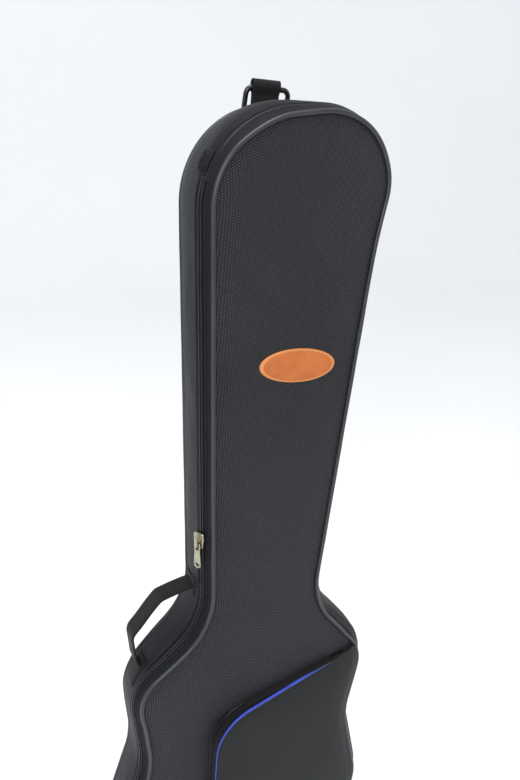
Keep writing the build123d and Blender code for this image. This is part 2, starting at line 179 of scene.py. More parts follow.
def skin_out(y):
    """How far the rear side wall's skin stands outside the seam outline at depth y."""
    depth = y - FRONT
    swell = np.interp(
        depth,
        [0, 2, 4, 7, 10, 13.5, 17, 21, 27, 34, 42, 50, 58, 65, 70, 75],
        [0.6, 1.6, 2.8, 4.9, 7.0, 9.6, 11.6, 12.8, 13.4, 13.7, 13.6, 13.2, 12.4, 11.2, 10, 8.6],
    )
    return swell + 0.9 * np.exp(-(((depth - 23.5) / 1.4) ** 2))


def smooth(value, low, high):
    """Eased step from 0 at low to 1 at high."""
    t = np.clip((value - low) / (high - low), 0, 1)
    return t * t * (3 - 2 * t)


def skin_at(x, z, y):
    """Skin of the side wall beside outline point (x, z) at depth y."""
    depth = y - FRONT
    near = 1 - smooth(depth, 4, 30)
    far = smooth(depth, 18, 66)
    return skin_out(y) + seam_shift(x, z) * near + back_shift(x, z) * far


# --- Meshes ---
def linked(name, data):
    """New object of this data in the scene."""
    obj = bpy.data.objects.new(name, data)
    bpy.context.scene.collection.objects.link(obj)
    return obj


def level(value):
    """Surface of a panel that lies flat at one y."""
    return lambda x, z: np.full_like(x, value)


def mesh_object(name, verts, faces, uvs, look):
    """Object from points in millimetres, with one UV per face corner."""
    mesh = bpy.data.meshes.new(name)
    mesh.from_pydata((np.array(verts, float) * MM).tolist(), [], faces)
    layer = mesh.uv_layers.new(name="weave")
    layer.data.foreach_set("uv", (np.array(uvs, float) * MM).ravel())
    work = bmesh.new()
    work.from_mesh(mesh)
    bmesh.ops.recalc_face_normals(work, faces=work.faces)
    work.to_mesh(mesh)
    work.free()
    mesh.polygons.foreach_set("use_smooth", [True] * len(mesh.polygons))
    mesh.materials.append(look)
    return linked(name, mesh)


def sweep(name, path, profile, look, closed=False, across="y"):
    """Mesh that carries a closed cross-section along a path; profile(i) gives (out, across)."""
    sections = np.array([profile(i) for i in range(len(path["at"]))], float)
    n, m = sections.shape[:2]
    flat = path["at"][:, None] + path["out"][:, None] * sections[:, :, :1]
    other = sections[:, :, 1]
    if across == "y":
        verts = np.stack([flat[:, :, 0], other, flat[:, :, 1]], 2).reshape(-1, 3)
    else:
        verts = np.stack([other, flat[:, :, 0], flat[:, :, 1]], 2).reshape(-1, 3)
    ring = np.vstack([sections[0], sections[0][:1]])
    around = np.concatenate([[0], np.cumsum(np.linalg.norm(np.diff(ring, axis=0), axis=1))])
    along = list(path["s"]) + [path["total"]]
    faces, uvs = [], []
    for i in range(n if closed else n - 1):
        i2 = (i + 1) % n
        for j in range(m):
            j2 = (j + 1) % m
            faces.append((i * m + j, i2 * m + j, i2 * m + j2, i * m + j2))
            uvs += [(along[i], around[j]), (along[i + 1], around[j])]
            uvs += [(along[i + 1], around[j + 1]), (along[i], around[j + 1])]
    if not closed:
        for start in (0, (n - 1) * m):
            faces.append(tuple(range(start, start + m)))
            uvs += [tuple(p) for p in sections[0 if start == 0 else -1]]
    return mesh_object(name, verts, faces, uvs, look)


def panel(name, rows, top, bottom, look, columns=48, sides=1, place=None):
    """Closed panel between rows of (z, left, right); top and bottom give y at (x, z)."""
    z, left, right = np.array(rows, float).T
    k = np.arange(columns + 1) / columns
    share = 0.5 * k + 0.25 * (1 - np.cos(pi * k))
    x = left[:, None] + (right - left)[:, None] * share
    zz = np.repeat(z[:, None], columns + 1, 1)
    upper = np.stack([x, top(x, zz), zz], 2).reshape(-1, 3)
    lower = np.stack([x, bottom(x, zz), zz], 2).reshape(-1, 3)
    n, m = x.shape
    verts = [upper, lower]
    faces = []
    for r in range(n - 1):
        for c in range(m - 1):
            quad = (r * m + c, r * m + c + 1, (r + 1) * m + c + 1, (r + 1) * m + c)
            faces.append(quad)
            faces.append(tuple(v + n * m for v in reversed(quad)))
    rim = list(range(m)) + [r * m + m - 1 for r in range(1, n)]
    rim += [(n - 1) * m + c for c in range(m - 2, -1, -1)] + [r * m for r in range(n - 2, 0, -1)]
    rings = [rim]
    base = 2 * n * m
    for s in range(1, sides):
        verts.append(upper[rim] + (lower[rim] - upper[rim]) * s / sides)
        rings.append(list(range(base, base + len(rim))))
        base += len(rim)
    rings.append([v + n * m for v in rim])
    for a, b in zip(rings, rings[1:]):
        for j in range(len(rim)):
            j2 = (j + 1) % len(rim)
            faces.append((a[j], a[j2], b[j2], b[j]))
    verts = np.vstack(verts)
    uvs = [(verts[v][0] + verts[v][1], verts[v][2]) for face in faces for v in face]
    if place is not None:
        turn = np.array(place)
        verts = verts @ turn[:3, :3].T + turn[:3, 3]
    return mesh_object(name, verts, faces, uvs, look)


def grown(path, grow):
    """The path's points moved out by grow, one value or one a point."""
    return path["at"] + path["out"] * np.reshape(grow, (-1, 1))


def crossings(line, z):
    """Where a closed line of points meets the height z, as x values."""
    a, b = line, np.roll(line, -1, 0)
    hit = ((a[:, 1] - z) * (b[:, 1] - z) <= 0) & (a[:, 1] != b[:, 1])
    a, b = a[hit], b[hit]
    return a[:, 0] + (b[:, 0] - a[:, 0]) * (z - a[:, 1]) / (b[:, 1] - a[:, 1])


def spans(path, grow):
    """Rows of (z, left, right) inside an outline grown by grow."""
    line = grown(path, grow)
    bottom, top = line[:, 1].min(), line[:, 1].max()
    reach = min(ROW_REACH, (top - bottom) / 2)
    ends = reach * (1 - np.cos(np.linspace(0, pi / 2, 18)))
    count = max(2, int((top - bottom - 2 * reach) / ROW_STEP))
    middle = np.linspace(bottom + reach, top - reach, count)
    heights = np.concatenate([bottom + ends, middle[1:-1], top - ends[::-1]])
    heights[0] += 0.02
    heights[-1] -= 0.02
    rows = []
    for z in heights:
        x = crossings(line, z)
        rows.append((z, x.min(), x.max()))
    return rows


def edge_distance(x, z, line):
    """Distance from each (x, z) to the nearest of a line's points."""
    points = np.stack([x.ravel(), z.ravel()], 1)
    found = np.empty(len(points))
    for k in range(0, len(points), 3000):
        gap = points[k:k + 3000, None] - line[None]
        found[k:k + 3000] = np.sqrt((gap ** 2).sum(2)).min(1)
    return found.reshape(x.shape)


def ripple(x, z, size, seed):
    """Soft uneven surface between -1 and 1, waves about size long."""
    values = [noise.noise(Vector((a / size, b / size, seed))) for a, b in zip(x.ravel(), z.ravel())]
    return np.array(values).reshape(x.shape)


def dome(distance, reach):
    """Rises from 0 at an edge to 1 at reach inside it."""
    return 1 - (1 - np.clip(distance / reach, 0, 1)) ** 2.2


def tube_profile(out, y, radius, sides, wobble):
    """Round cross-section, for a cord or piping; out has one value a point."""
    angles = [2 * pi * k / sides for k in range(sides)]

    def profile(i):
        size = radius + wobble * noise.noise(Vector((i * 0.11, radius, y)))
        return [(out[i] + size * cos(a), y + size * sin(a)) for a in angles]

    return profile


def band_on_wall(path, low, high, front, back, steps=8):
    """Cross-section of a band that lies on the side wall's skin."""
    y = np.linspace(front, back, steps)

    def profile(i):
        skin = skin_at(*path["at"][i], y)
        soft = np.full(steps, high)
        soft[[0, -1]] -= (high - low) * 0.35
        upper = [(a + b, v) for a, b, v in zip(skin, soft, y)]
        return upper + [(a + low, v) for a, v in zip(skin[::-1], y[::-1])]

    return profile


def tape_profile(low, high, front, back, steps=6):
    """Flat cross-section from front to back with softened corners."""
    y = np.linspace(front + 0.3, back - 0.3, steps)
    upper = [(high, v) for v in y]
    lower = [(low, v) for v in y[::-1]]
    middle = (low + high) / 2
    section = upper + [(middle, back)] + lower + [(middle, front)]
    return lambda i: section


# Along a stitch: the share of its length, its size and its lift, in radii.
STITCH_SHAPE = ((0, 0.35, -0.25), (0.22, 1, 0.2), (0.78, 1, 0.2), (1, 0.35, -0.25))


def stitches(name, points, ups, look, length=2.8, gap=1.6, radius=0.34):
    """Row of sewn stitches along a line of points; ups are the surface normals there."""
    points, ups = np.array(points, float), np.array(ups, float)
    far = np.concatenate([[0], np.cumsum(np.linalg.norm(np.diff(points, axis=0), axis=1))])
    count = int(far[-1] / (length + gap))
    verts, faces, uvs = [], [], []
    for k in range(count):
        ends = []
        for side in (-1, 1):
            where = (k + 0.5) * (length + gap) + side * length / 2
            ends.append([np.interp(where, far, points[:, c]) for c in range(3)])
        middle = (k + 0.5) * (length + gap)
        up = np.array([np.interp(middle, far, ups[:, c]) for c in range(3)])
        a, b = np.array(ends[0]), np.array(ends[1])
        run = (b - a) / np.linalg.norm(b - a)
        side = np.cross(run, up)
        side /= np.linalg.norm(side)
        up = np.cross(side, run)
        start = len(verts)
        for share, size, lift in STITCH_SHAPE:
            for j in range(6):
                angle = j * pi / 3
                offset = side * cos(angle) + up * sin(angle)
                verts.append(a + (b - a) * share + offset * radius * size + up * lift * radius * 2)
        for r in range(3):
            for j in range(6):
                j2 = (j + 1) % 6
                quad = (r * 6 + j, r * 6 + j2, r * 6 + 6 + j2, r * 6 + 6 + j)
                faces.append(tuple(start + v for v in quad))
        faces.append(tuple(start + v for v in range(6)))
        faces.append(tuple(start + 18 + v for v in range(6)))
    for face in faces:
        uvs += [(verts[v][0], verts[v][2]) for v in face]
    return mesh_object(name, verts, faces, uvs, look)


def applied(obj):
    """Mesh of an object with its modifiers applied, which are then removed."""
    graph = bpy.context.evaluated_depsgraph_get()
    mesh = bpy.data.meshes.new_from_object(obj.evaluated_get(graph))
    obj.modifiers.clear()
    return mesh


def inflate(obj, voxel, cap):
    """Cloth pressure on a padded piece, its points moved at most cap."""
    bpy.context.view_layer.objects.active = obj
    mesh = obj.data
    remesh = obj.modifiers.new("remesh", "REMESH")
    remesh.mode = "VOXEL"
    remesh.voxel_size = voxel * MM
    remesh.use_smooth_shade = True
    solid = applied(obj)
    obj.data = solid
    rest = np.array([v.co for v in solid.vertices])
    cloth = obj.modifiers.new("cloth", "CLOTH")
    cloth.settings.use_pressure = True
    cloth.settings.uniform_pressure_force = 4
    cloth.settings.effector_weights.gravity = 0
    cloth.point_cache.frame_start = 1
    cloth.point_cache.frame_end = TICKS
    for tick in range(1, TICKS + 1):
        bpy.context.scene.frame_set(tick)
    swollen = applied(obj)
    bpy.context.scene.frame_set(1)
    move = np.array([v.co for v in swollen.vertices]) - rest
    size = np.linalg.norm(move, axis=1)[:, None]
    move *= np.minimum(1, cap * MM / np.maximum(size, 1e-9))
    solid.vertices.foreach_set("co", (rest + move).ravel())
    smoothing = obj.modifiers.new("soft", "SUBSURF")
    smoothing.levels = 1
    final = applied(obj)
    obj.data = final
    final.polygons.foreach_set("use_smooth", [True] * len(final.polygons))
    final.materials.clear()
    final.materials.append(mesh.materials[0])


# --- Materials ---
class Look:
    """Small wrapper that builds a Principled material node by node."""

    def __init__(self, name, rough, **sockets):
        self.material = bpy.data.materials.new(name)
        self.material.use_nodes = True
        self.tree = self.material.node_tree
        self.shader = self.tree.nodes["Principled BSDF"]
        self.shader.inputs["Roughness"].default_value = rough
        for key, value in sockets.items():
            self.shader.inputs[key.replace("_", " ")].default_value = value

    def node(self, kind, links=None, values=None, **props):
        made = self.tree.nodes.new("ShaderNode" + kind)
        for key, value in props.items():
            setattr(made, key, value)
        for key, value in (values or {}).items():
            made.inputs[key].default_value = value
        for key, source in (links or {}).items():
            self.tree.links.new(source, made.inputs[key])
        return made

    def coords(self, kind="UV", scale=(1, 1, 1), turn=0.0):
        source = self.node("TexCoord").outputs[kind]
        made = self.node("Mapping", {"Vector": source}, {"Scale": scale, "Rotation": (0, 0, turn)})
        return made.outputs[0]

    def math(self, kind, a, b):
        made = self.node("Math", operation=kind)
        for k, value in enumerate((a, b)):
            if isinstance(value, (int, float)):
                made.inputs[k].default_value = value
            else:
                self.tree.links.new(value, made.inputs[k])
        return made.outputs[0]

    def noise(self, vector, scale, detail=3.0):
        made = self.node("TexNoise", {"Vector": vector}, {"Scale": scale, "Detail": detail})
        return made.outputs["Fac"]

    def ramp(self, fac, *stops):
        made = self.node("ValToRGB", {"Fac": fac})
        band = made.color_ramp
        while len(band.elements) < len(stops):
            band.elements.new(0.5)
        for element, (place, colour) in zip(band.elements, stops):
            element.position = place
            element.color = (*colour, 1) if len(colour) == 3 else (colour[0],) * 3 + (1,)
        return made.outputs[0]

    def mix(self, fac, a, b, kind="MIX"):
        made = self.node("Mix", data_type="RGBA", blend_type=kind)
        for k, value in ((0, fac), (6, a), (7, b)):
            if isinstance(value, (int, float)):
                made.inputs[k].default_value = value
            elif isinstance(value, tuple):
                made.inputs[k].default_value = (*value, 1)
            else:
                self.tree.links.new(value, made.inputs[k])
        return made.outputs[2]

    def finish(self, colour, height, distance, rough=None, strength=1.0):
        self.tree.links.new(colour, self.shader.inputs["Base Color"])
        bump = self.node("Bump", {"Height": height}, {"Strength": strength, "Distance": distance})
        self.tree.links.new(bump.outputs[0], self.shader.inputs["Normal"])
        if rough is not None:
            self.tree.links.new(rough, self.shader.inputs["Roughness"])
        return self.material


def woven(name, dark, light, cell, turn, rough, sheen, relief):
    """Plain or ballistic weave: offset rows of raised threads over a dark ground; the threads'
    paler colour is partly the weave's pattern, partly painted sheen on their tops.
    """
    look = Look(name, rough, Sheen_Weight=sheen, Sheen_Roughness=0.45, Specular_IOR_Level=0.16)
    uv = look.coords("UV", turn=turn)
    # Color1 and Color2 are the threads' pale tops, partly the weave's pattern and partly painted
    # sheen; Mortar is the dark ground between them.
    brick = look.node(
        "TexBrick",
        {"Vector": uv},
        {"Scale": 1.0, "Mortar Size": cell * 0.2 * MM, "Mortar Smooth": 0.6,
         "Brick Width": cell * MM, "Row Height": cell * 0.62 * MM, "Color1": (*light, 1),
         "Color2": tuple(c * 0.8 for c in light) + (1,), "Mortar": (*dark, 1)},
        offset=0.5,
    )
    place = look.coords("Object")
    cloud = look.noise(place, 9.0, 4.0)
    fibre = look.noise(place, 1500.0, 2.0)
    worn = look.ramp(cloud, (0.3, (0.75,)), (0.7, (1.0,)))
    colour = look.mix(1.0, brick.outputs["Color"], worn, "MULTIPLY")
    grain = look.ramp(fibre, (0.3, (0.8,)), (0.7, (1.15,)))
    colour = look.mix(0.7, colour, look.mix(1.0, colour, grain, "MULTIPLY"))
    raised = look.math("SUBTRACT", 1.0, brick.outputs["Fac"])
    height = look.math("ADD", raised, look.math("MULTIPLY", fibre, 0.35))
    height = look.math("ADD", height, look.math("MULTIPLY", look.noise(place, 60.0), 0.5))
    gloss = look.ramp(cloud, (0.25, (rough - 0.05,)), (0.75, (rough + 0.08,)))
    return look.finish(colour, height, relief * MM, gloss)


def ribbed(name, dark, light, pitch, rough, relief):
    """Webbing or tape: fine ribs with a herringbone cross thread."""
    look = Look(name, rough, Sheen_Weight=0.03, Sheen_Roughness=0.4, Specular_IOR_Level=0.14)
    uv = look.coords("UV", scale=(1 / (pitch * MM), 1 / (pitch * MM), 1))
    axes = look.node("SeparateXYZ", {"Vector": uv}).outputs
    zigzag = look.math("PINGPONG", axes[1], 1.5)
    rows = look.math("SINE", look.math("MULTIPLY", look.math("ADD", axes[0], zigzag), 2 * pi), 0)
    rows = look.math("MULTIPLY_ADD", rows, 0.5)
    rows.node.inputs[2].default_value = 0.5
    place = look.coords("Object")
    cloud = look.noise(place, 14.0)
    colour = look.ramp(rows, (0.15, dark), (0.9, light))
    colour = look.mix(1.0, colour, look.ramp(cloud, (0.3, (0.75,)), (0.7, (1.0,))), "MULTIPLY")
    height = look.math("ADD", rows, look.math("MULTIPLY", look.noise(place, 1400.0), 0.4))
    gloss = look.ramp(cloud, (0.3, (rough - 0.05,)), (0.7, (rough + 0.08,)))
    return look.finish(colour, height, relief * MM, gloss)


def grained(name, dark, light, size, rough, relief, **sockets):
    """Leather, vinyl, rubber, plastic or metal: pebbled or mottled surface."""
    look = Look(name, rough, **sockets)
    place = look.coords("Object")
    cells = look.node(
        "TexVoronoi", {"Vector": place}, {"Scale": 1000.0 / size}, feature="DISTANCE_TO_EDGE"
    ).outputs["Distance"]
    cloud = look.noise(place, 40.0, 5.0)
    fine = look.noise(place, 2500.0 / size, 3.0)
    colour = look.ramp(cloud, (0.3, dark), (0.72, light))
    height = look.math("ADD", look.math("MINIMUM", cells, 0.25), look.math("MULTIPLY", fine, 0.3))
    gloss = look.ramp(cloud, (0.3, (max(0.02, rough - 0.06),)), (0.7, (rough + 0.08,)))
    return look.finish(colour, height, relief * MM, gloss)


# Ballistic nylon: pale threads at 0.062 over a near-black ground; their paleness is partly painted
# sheen.
BALLISTIC = woven("ballistic", (0.0006, 0.0006, 0.0008), (0.062, 0.060, 0.066), 3.1,
                  radians(-38), 0.46, 0.03, 0.4)
SIDE = woven("side_cloth", (0.0025, 0.0025, 0.0035), (0.010, 0.010, 0.013), 1.5, radians(45),
             0.55, 0.04, 0.15)
POCKET = woven("pocket_cloth", (0.004, 0.004, 0.004), (0.019, 0.0195, 0.019), 1.8,
               radians(-38), 0.55, 0.04, 0.16)
VINYL = grained("piping_vinyl", (0.010, 0.010, 0.011), (0.018, 0.018, 0.019), 1.1, 0.36, 0.05,
                Coat_Weight=0.08, Coat_Roughness=0.35)
ZIP_CLOTH = ribbed("zip_cloth", (0.0010, 0.0010, 0.0014), (0.006, 0.006, 0.008), 1.2, 0.5, 0.10)
TEETH = grained("zip_teeth", (0.004, 0.004, 0.005), (0.010, 0.010, 0.012), 2.0, 0.3, 0.03)
METAL = grained("slider_brass", (0.30, 0.27, 0.19), (0.48, 0.45, 0.34), 3.0, 0.30, 0.04,
                Metallic=1.0)
STRAP = ribbed("strap_webbing", (0.0030, 0.0027, 0.0026), (0.022, 0.020, 0.0195), 1.7, 0.6, 0.25)
RUBBER = grained("tail_rubber", (0.012, 0.012, 0.012), (0.022, 0.022, 0.022), 2.2, 0.6, 0.15)
PLASTIC = grained("ring_plastic", (0.003, 0.003, 0.003), (0.007, 0.007, 0.007), 4.0, 0.25, 0.02)
BLUE = grained("blue_welt", (0.006, 0.022, 0.24), (0.012, 0.045, 0.40), 0.9, 0.38, 0.06,
               Coat_Weight=0.1, Coat_Roughness=0.4)
LINING = grained("plush_lining", (0.006, 0.006, 0.007), (0.016, 0.016, 0.019), 2.5, 0.9, 0.5,
                 Sheen_Weight=0.2, Sheen_Roughness=0.5)
THREAD = grained("thread_black", (0.003, 0.003, 0.004), (0.007, 0.007, 0.008), 0.5, 0.5, 0.02)
TAN_THREAD = grained("thread_tan", (0.50, 0.27, 0.10), (0.62, 0.36, 0.15), 0.5, 0.55, 0.02)


def leather(name):
    """Tan leather with a paler, rubbed edge and a pebbled grain."""
    look = Look(name, 0.48, Specular_IOR_Level=0.4, Sheen_Weight=0.05)
    place = look.coords("Object")
    rim = look.node("Attribute", attribute_name="rim").outputs["Fac"]
    cloud = look.noise(place, 55.0, 5.0)
    pores = look.node("TexVoronoi", {"Vector": place}, {"Scale": 900.0}).outputs["Distance"]
    face = look.ramp(cloud, (0.3, (0.36, 0.085, 0.012)), (0.7, (0.47, 0.125, 0.020)))
    colour = look.mix(rim, face, (0.56, 0.19, 0.05))
    colour = look.mix(1.0, colour, look.ramp(pores, (0.0, (0.78,)), (0.35, (1.0,))), "MULTIPLY")
    height = look.math("ADD", pores, look.math("MULTIPLY", look.noise(place, 350.0), 0.8))
    gloss = look.ramp(cloud, (0.3, (0.42,)), (0.7, (0.56,)))
    return look.finish(colour, height, 0.10 * MM, gloss)


LEATHER = leather("badge_leather")


def placed(obj, body, slot, *nodes, fill=None):
    """Rides obj on a body and hides the CAD nodes that it stands for; its slot is not used."""
    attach(obj, body)
    if nodes:
        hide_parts(*nodes)
    return obj


# --- Lid: front panel, its side strip and piping ---
OUT_X, OUT_Z = OUTLINE["at"].T
SEAM_GROW = SEAM + seam_shift(OUT_X, OUT_Z)
SEAM_LINE = grown(OUTLINE, SEAM_GROW)


def mouth_height(x):
    """Height of the pocket's mouth at x, before its corner is rounded."""
    return POCKET_CORNER + (x - POCKET_LEFT) * POCKET_SLOPE


def front_y(x, z):
    """Front of the padded front panel: crowned, a little uneven, flatter under the pocket."""
    inside = edge_distance(x, z, SEAM_LINE)
    crown = 6.2 * dome(inside, 42) + 1.1 * ripple(x, z, 110, 3.1) * smooth(inside, 0, 40)
    crown += 0.35 * ripple(x, z, 32, 8.4) * smooth(inside, 4, 30)
    covered = np.minimum(x - POCKET_LEFT, (mouth_height(x) - z) * 0.955)
    crown *= 1 - 0.85 * smooth(covered, -8, 24)
    return FRONT + 1.4 - crown


front_panel = panel(
    "front_panel", spans(OUTLINE, SEAM_GROW), front_y, level(LID_FLOOR + 0.4), BALLISTIC, 56, 3,
)
placed(front_panel, "lid", "ballistic_nylon", "front_shell", "front_foam", fill=0.8)


def front_side(i):
    """Cross-section of the lid's side strip."""
    y = np.linspace(FRONT + 0.6, LID_EDGE - 0.1, 8)
    skin = skin_at(*OUTLINE["at"][i], y)
    return list(zip(skin, y)) + list(zip(skin[::-1] - 1.6, y[::-1]))


placed(sweep("front_side_strip", OUTLINE, front_side, SIDE, True), "lid", "side_nylon",
       "front_gusset")
placed(sweep("front_welt", OUTLINE, tube_profile(SEAM_GROW + 0.2, FRONT - 0.2, 2.7, 14, 0.3),
             VINYL, True), "lid", "welt_vinyl", "front_piping")
lid_lining = panel(
    "lid_lining", spans(OUTLINE, 6.6), level(LID_FLOOR - 0.2),
    lambda x, z: LID_FLOOR + 1.0 + 1.6 * dome(edge_distance(x, z, SEAM_LINE), 25),
    LINING, 32,
)
placed(lid_lining, "lid", "lining", "front_lining", fill=0.5)

seam_in = OUTLINE["at"] - OUTLINE["out"] * 4.5
seam_y = front_y(seam_in[:, 0], seam_in[:, 1])
seam_points = np.stack([seam_in[:, 0], seam_y - 0.1, seam_in[:, 1]], 1)
placed(stitches("front_seam_stitches", seam_points, [(0, -1, 0)] * len(seam_points), THREAD),
       "lid", "ballistic_nylon")

# --- Base: rear side wall, back panel, piping, linings ---
def rear_side(i):
    """Cross-section of the deep rear wall, with soft unevenness along it."""
    x, z = OUTLINE["at"][i]
    y = np.linspace(BASE_EDGE, BACK - 0.8, 22)
    skin = skin_at(x, z, y)
    outer = []
    for v, out in zip(y, skin):
        free = smooth(v, BASE_EDGE + 4, BASE_EDGE + 22) * (1 - smooth(v, BACK - 14, BACK - 2))
        sway = noise.noise(Vector((x / 85, v / 40, z / 85))) * 1.5
        sway += noise.noise(Vector((x / 28, v / 24, z / 28))) * 0.5
        outer.append((out + sway * free, v))
    return outer + list(zip(skin[::-1] - 2.2, y[::-1]))


placed(sweep("rear_side_wall", OUTLINE, rear_side, SIDE, True), "base", "side_nylon",
       "rear_gusset", "rear_gusset_foam", fill=0.7)
BACK_GROW = 8.6 + back_shift(OUT_X, OUT_Z)
placed(sweep("back_welt", OUTLINE, tube_profile(BACK_GROW, BACK - 1.2, 2.5, 12, 0.25), VINYL,
             True), "base", "welt_vinyl", "back_piping")

BACK_LINE = grown(OUTLINE, BACK_GROW)


def back_y(x, z):
    """Back panel: quilted in shallow lengthwise channels."""
    inside = edge_distance(x, z, BACK_LINE)
    channel = np.abs(np.sin(pi * (z - 40) / 96.0)) ** 0.35
    return BACK - 1.2 + (2.0 * dome(inside, 24)) * (0.35 + 0.65 * channel)


placed(panel("back_panel", spans(OUTLINE, BACK_GROW - 0.2), level(CAVITY_BACK + 1.1), back_y,
             BALLISTIC, 44), "base", "ballistic_nylon", "back_shell", "back_foam", fill=0.6)
LINING_GROW = 0.2 + np.minimum(0, 0.9 * back_shift(OUT_X, OUT_Z))
placed(panel("back_lining_pad", spans(OUTLINE, LINING_GROW),
             lambda x, z: CAVITY_BACK - 2.2 * dome(edge_distance(x, z, OUTLINE["at"]), 22),
             level(CAVITY_BACK + 0.9), LINING, 32),
       "base", "lining", "back_lining", fill=0.5)


def inner_wall(i):
    """Cross-section of the lining inside the rear wall."""
    y = np.linspace(BASE_EDGE + 0.4, CAVITY_BACK, 12)
    inside = np.minimum(0, back_shift(*OUTLINE["at"][i])) * smooth(y - FRONT, 18, 66)
    return list(zip(inside + 0.4, y)) + list(zip(inside[::-1] - 0.7, y[::-1]))


placed(sweep("wall_lining", OUTLINE, inner_wall, LINING, True), "base", "lining",
       "rear_gusset_lining")
placed(sweep("rim_binding", OUTLINE, tape_profile(-0.9, 8.4, BASE_EDGE + 0.1, BASE_EDGE + 2.4, 4),
             STRAP, True), "base", "webbing")

# --- Main zip ---
ZIP_LINE = part_of(OUTLINE, on_zip)
SEWN_RIGHT = part_of(OUTLINE, lambda x, z: x > 0 and ZIP_END <= z < ZIP_TOP)


def tooth_profile(path, lift, y, wide=1.15):
    """Cross-section of a zip coil whose size beats once a tooth; lift None is off the wall."""
    angles = [2 * pi * k / 8 for k in range(8)]

    def profile(i):
        size = 0.72 if i % 2 else 1.0
        out = lift if path is None else skin_at(*path["at"][i], y) + lift
        return [(out + 0.75 * size * cos(a), y + wide * size * sin(a)) for a in angles]

    return profile


TEETH_LINE = finer(ZIP_LINE, 0.85)
FRONT_TAPE = (LID_EDGE - 6, LID_EDGE - 0.2)
REAR_TAPE = (BASE_EDGE + 0.2, BASE_EDGE + 8)
placed(sweep("front_zip_band", ZIP_LINE, band_on_wall(ZIP_LINE, -0.6, 0.7, *FRONT_TAPE), ZIP_CLOTH),
       "lid", "zip_tape", "front_zip_tape")
placed(sweep("front_zip_teeth", TEETH_LINE, tooth_profile(TEETH_LINE, 1.1, LID_EDGE - 1.1), TEETH),
       "lid", "zip_coil", "front_zip_coil")
placed(sweep("rear_zip_band", ZIP_LINE, band_on_wall(ZIP_LINE, -0.6, 0.8, *REAR_TAPE), ZIP_CLOTH),
       "base", "zip_tape", "rear_zip_tape")
placed(sweep("rear_zip_teeth", TEETH_LINE, tooth_profile(TEETH_LINE, 1.2, BASE_EDGE + 1.1), TEETH),
       "base", "zip_coil", "rear_zip_coil")
sewn_band = sweep("sewn_side_band", SEWN_RIGHT,
                  band_on_wall(SEWN_RIGHT, 0.1, 0.9, LID_EDGE - 7, BASE_EDGE + 8, 14), SIDE)
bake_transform(sewn_band)


def row_on_wall(path, y, lift, plain=False):
    """Points and normals for stitching that runs along the side wall."""
    out = lift if plain else skin_at(*path["at"].T, y) + lift
    line = grown(path, out)
    points = np.stack([line[:, 0], np.full(len(line), y), line[:, 1]], 1)
    normals = np.stack([path["out"][:, 0], np.zeros(len(line)), path["out"][:, 1]], 1)
    return points, normals


placed(stitches("front_zip_stitches", *row_on_wall(ZIP_LINE, LID_EDGE - 4.6, 0.7), THREAD), "lid",
       "zip_tape")
placed(stitches("rear_zip_stitches", *row_on_wall(ZIP_LINE, BASE_EDGE + 6.2, 0.8), THREAD),
       "base", "zip_tape")


def wall_patch(name, keep, front, back, thick, look):
    """Sewn patch that follows the rear wall, thinner towards its ends."""
    run = finer(part_of(OUTLINE, keep), 2.0)
    count = len(run["at"])
    y = np.linspace(front, back, 12)

    def profile(i):
        end = min(i, count - 1 - i) * 2.0
        rise = thick * (0.35 + 0.65 * dome(end, 4))
        edge = np.minimum(y - front, back - y)
        skin = skin_at(*run["at"][i], y)
        outer = skin + rise * (0.4 + 0.6 * dome(edge, 3))
        return list(zip(outer, y)) + list(zip(skin[::-1] - 1.0, y[::-1]))

    return sweep(name, run, profile, look), run


def box_stitches(name, run, front, back, out, look):
    """Sewn rectangle with a cross, on a patch that follows the wall."""
    a, b = 2, len(run["at"]) - 3
    rows = [(i, front + 3) for i in range(a, b)]
    rows += [(b, y) for y in np.linspace(front + 3, back - 3, 8)]
    rows += [(i, back - 3) for i in range(b, a, -1)]
    rows += [(a, y) for y in np.linspace(back - 3, front + 3, 8)]
    rows += [(a + k * (b - a) / 10, front + 3 + k * (back - front - 6) / 10) for k in range(11)]
    points, ups = [], []
    for i, y in rows:
        j = int(round(i))
        x, z = run["at"][j] + run["out"][j] * (skin_at(*run["at"][j], y) + out)
        points.append((x, y, z))
        ups.append((run["out"][j][0], 0, run["out"][j][1]))
    return stitches(name, points, ups, look)


end_tab, end_run = wall_patch("zip_end_patch", lambda x, z: x < 0 and 990 < z < 1012,
                              BASE_EDGE, BASE_EDGE + 18, 2.6, ZIP_CLOTH)
placed(end_tab, "base", "zip_tape", "zip_end_tab")
placed(box_stitches("zip_end_stitches", end_run, BASE_EDGE, BASE_EDGE + 18, 2.6, THREAD), "base",
       "zip_tape")

# --- Badge ---
def on_badge(a, b):
    """The x and z of a point a along the badge and b up it."""
    x = BADGE_AT[0] + a * cos(BADGE_TURN) - b * sin(BADGE_TURN)
    return x, BADGE_AT[1] + a * sin(BADGE_TURN) + b * cos(BADGE_TURN)


